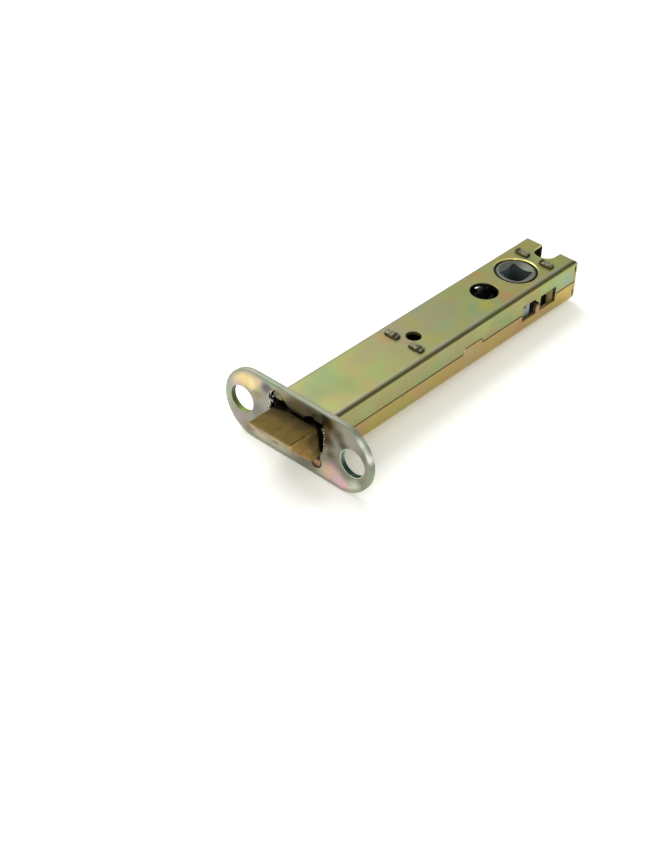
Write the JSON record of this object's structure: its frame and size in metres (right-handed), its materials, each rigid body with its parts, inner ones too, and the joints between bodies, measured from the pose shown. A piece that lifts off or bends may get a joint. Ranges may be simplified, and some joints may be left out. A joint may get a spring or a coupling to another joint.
{
  "type": "tubular mortice door latch",
  "caption": "Tubular mortice door latch: folded two-part case, round-ended forend, sprung bevelled brass bolt and a square-holed follower that draws it back.",
  "frame": {"origin": "centre of the forend's front face, midway between its two screw holes", "axes": "+X from the forend back along the case, +Y along the forend, +Z along the spindle out of the case's upper half"},
  "size_m": [0.1407, 0.06, 0.0248],
  "materials": {
    "zinc_plate": "bright zinc plate with a pale iridescent passivate",
    "yellow_passivate": "zinc plate with an olive and gold iridescent passivate",
    "bolt_brass": "satin brushed brass, dulled",
    "sintered_steel": "grey zinc-plated sintered steel",
    "inner_steel": "zinc-plated pressed steel",
    "spring_steel": "oiled spring wire",
    "nylon": "black nylon"
  },
  "bodies": {
    "case": {"forend_plate": "zinc_plate", "upper_case": "yellow_passivate", "lower_case": "yellow_passivate", "mid_bulkhead": "inner_steel", "rear_bulkhead": "inner_steel", "upper_washer": "nylon", "lower_washer": "nylon"},
    "follower": {"follower": "sintered_steel"},
    "retractor": {"cross_head": "inner_steel", "spring_cup": "inner_steel", "left_arm": "inner_steel", "right_arm": "inner_steel", "left_shoe": "sintered_steel", "right_shoe": "sintered_steel", "shoe_rivets": "inner_steel", "lever_spring": "spring_steel"},
    "bolt": {"latch_bolt": "bolt_brass", "bolt_tail": "inner_steel", "tail_pin": "inner_steel", "bolt_spring": "spring_steel"}
  },
  "joints": [
    {"name": "follower_turn", "type": "hinge", "parent": "case", "child": "follower", "pos_m": [0.1081, 0, 0], "axis": [0, 0, 1], "range_deg": [0, 80]},
    {"name": "retractor_slide", "type": "slide", "parent": "case", "child": "retractor", "axis": [1, 0, 0], "range_m": [0, 0.01208], "stiffness_N_per_m": 1500, "springref_m": -0.008, "deforming": ["lever_spring"]},
    {"name": "bolt_slide", "type": "slide", "parent": "retractor", "child": "bolt", "axis": [1, 0, 0], "range_m": [0, 0.0121], "stiffness_N_per_m": 300, "springref_m": -0.02, "deforming": ["bolt_spring"]}
  ],
  "couplings": [
    {"joint": "follower_turn", "follows": "retractor_slide", "rad_per_m": 115.54}
  ]
}
